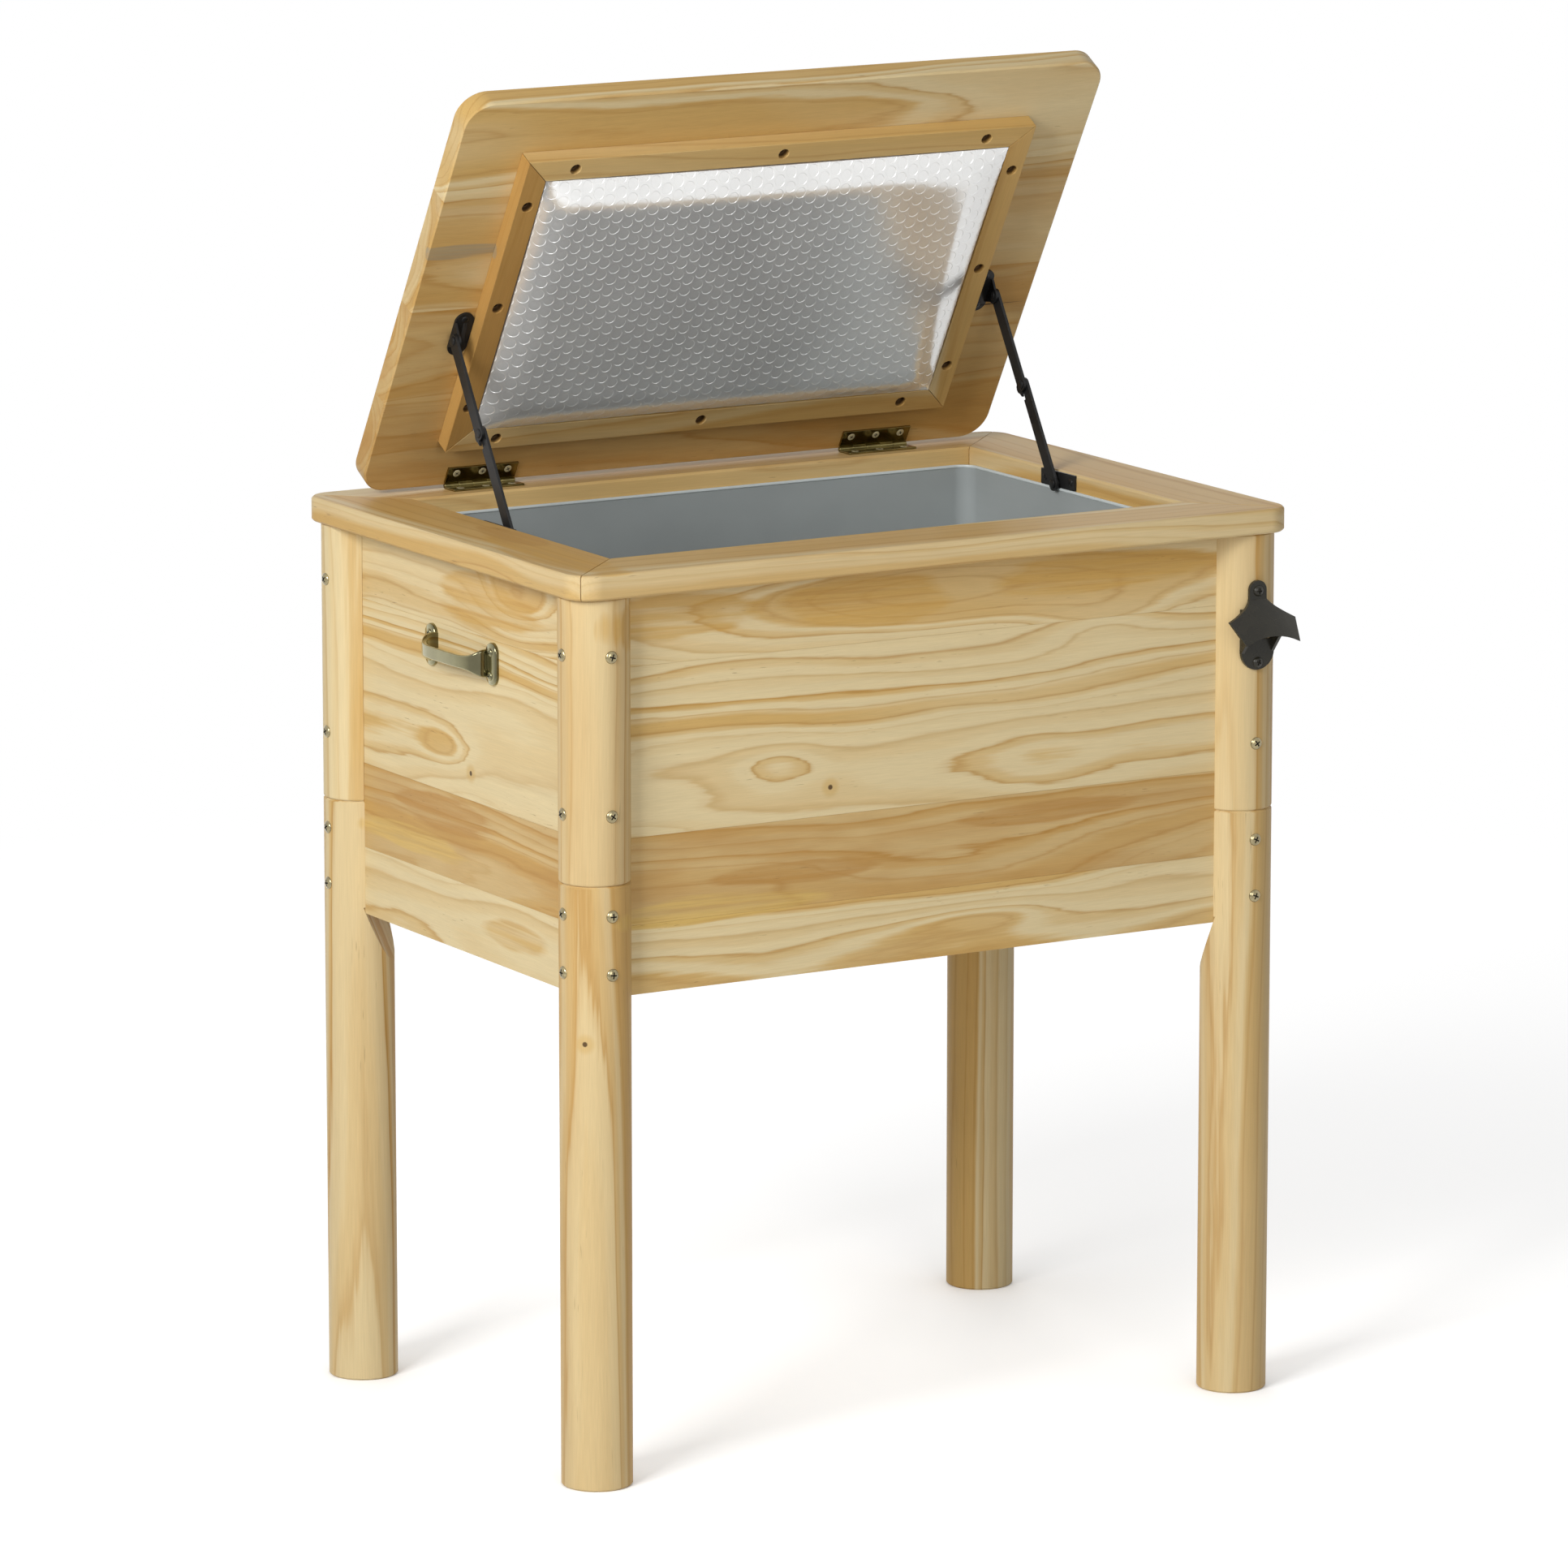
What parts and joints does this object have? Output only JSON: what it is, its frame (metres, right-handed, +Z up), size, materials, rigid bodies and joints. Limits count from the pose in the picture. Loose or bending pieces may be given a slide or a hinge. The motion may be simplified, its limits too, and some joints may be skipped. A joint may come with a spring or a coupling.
{
  "type": "patio cooler",
  "caption": "Pine patio cooler: insulated chest on round legs, hinged lid held open by folding stays, foil-padded lid, side carrying handles, post-mounted bottle opener",
  "frame": {"origin": "on the floor under the middle of the bounding box, bottle opener included", "axes": "+Z up, +X to the right along the front, +Y towards the back, where the lid is hinged"},
  "size_m": [0.6966, 0.5094, 1.1382],
  "materials": {
    "pine": "clear satin lacquer on knotty pine",
    "liner_plastic": "smooth blue-grey moulded plastic",
    "white_foam": "expanded foam",
    "silver_foil": "bright foil-faced bubble sheet",
    "hinge_brass": "dark antique brass, polished",
    "handle_brass": "antique brass, polished",
    "black_steel": "satin black coated steel",
    "black_plastic": "moulded plastic"
  },
  "bodies": {
    "chest": {"back_left_leg": "pine", "back_left_post": "pine", "back_rail": "pine", "back_right_leg": "pine", "back_right_post": "pine", "back_wall": "pine", "bottle_opener": "black_steel", "bottom_board": "pine", "drain_fitting": "black_plastic", "front_left_leg": "pine", "front_left_post": "pine", "front_rail": "pine", "front_right_leg": "pine", "front_right_post": "pine", "front_wall": "pine", "insulation": "white_foam", "left_handle": "handle_brass", "left_handle_screw_1": "handle_brass", "left_handle_screw_2": "handle_brass", "left_handle_screw_3": "handle_brass", "left_handle_screw_4": "handle_brass", "left_hinge_pin": "hinge_brass", "left_hinge_rim_leaf": "hinge_brass", "left_rail": "pine", "left_stay_box_plate": "black_steel", "left_stay_box_stud": "black_steel", "left_wall": "pine", "liner_tub": "liner_plastic", "opener_screw_1": "black_steel", "opener_screw_2": "black_steel", "right_handle": "handle_brass", "right_handle_screw_1": "handle_brass", "right_handle_screw_2": "handle_brass", "right_handle_screw_3": "handle_brass", "right_handle_screw_4": "handle_brass", "right_hinge_pin": "hinge_brass", "right_hinge_rim_leaf": "hinge_brass", "right_rail": "pine", "right_stay_box_plate": "black_steel", "right_stay_box_stud": "black_steel", "right_wall": "pine"},
    "lid": {"back_batten": "pine", "foil_pad": "silver_foil", "front_batten": "pine", "left_batten": "pine", "left_hinge_lid_leaf": "hinge_brass", "left_stay_lid_plate": "black_steel", "left_stay_lid_rivet": "black_steel", "lid_board": "pine", "right_batten": "pine", "right_hinge_lid_leaf": "hinge_brass", "right_stay_lid_plate": "black_steel", "right_stay_lid_rivet": "black_steel"},
    "drain_cap_body": {"drain_cap": "black_plastic"},
    "left_upper_arm": {"left_stay_upper_arm": "black_steel", "left_stay_elbow_rivet": "black_steel"},
    "left_lower_arm": {"left_stay_lower_arm": "black_steel"},
    "right_upper_arm": {"right_stay_upper_arm": "black_steel", "right_stay_elbow_rivet": "black_steel"},
    "right_lower_arm": {"right_stay_lower_arm": "black_steel"}
  },
  "joints": [
    {"name": "lid_hinge", "type": "hinge", "parent": "chest", "child": "lid", "pos_m": [0, 0.2154, 0.7748], "axis": [1, 0, 0], "range_deg": [0, 60]},
    {"name": "left_stay_lid_pivot", "type": "hinge", "parent": "lid", "child": "left_upper_arm", "pos_m": [-0.26845, 0.12608, 0.91491], "axis": [1, 0, 0], "range_deg": [0, 17.6]},
    {"name": "left_stay_box_pivot", "type": "hinge", "parent": "chest", "child": "left_lower_arm", "pos_m": [-0.26565, 0.0325, 0.761], "axis": [1, 0, 0], "range_deg": [-92.7, 0]},
    {"name": "right_stay_lid_pivot", "type": "hinge", "parent": "lid", "child": "right_upper_arm", "pos_m": [0.26845, 0.12608, 0.91491], "axis": [1, 0, 0], "range_deg": [0, 17.6]},
    {"name": "right_stay_box_pivot", "type": "hinge", "parent": "chest", "child": "right_lower_arm", "pos_m": [0.27125, 0.0325, 0.761], "axis": [1, 0, 0], "range_deg": [-92.7, 0]},
    {"name": "drain_cap_slide", "type": "slide", "parent": "chest", "child": "drain_cap_body", "axis": [0, 0, -1], "range_m": [0, 0.03]}
  ],
  "couplings": [
    {"joint": "left_stay_lid_pivot", "follows": "lid_hinge", "ratio": 0.29145},
    {"joint": "left_stay_box_pivot", "follows": "lid_hinge", "ratio": -1.5423},
    {"joint": "right_stay_lid_pivot", "follows": "lid_hinge", "ratio": 0.29145},
    {"joint": "right_stay_box_pivot", "follows": "lid_hinge", "ratio": -1.5423}
  ]
}
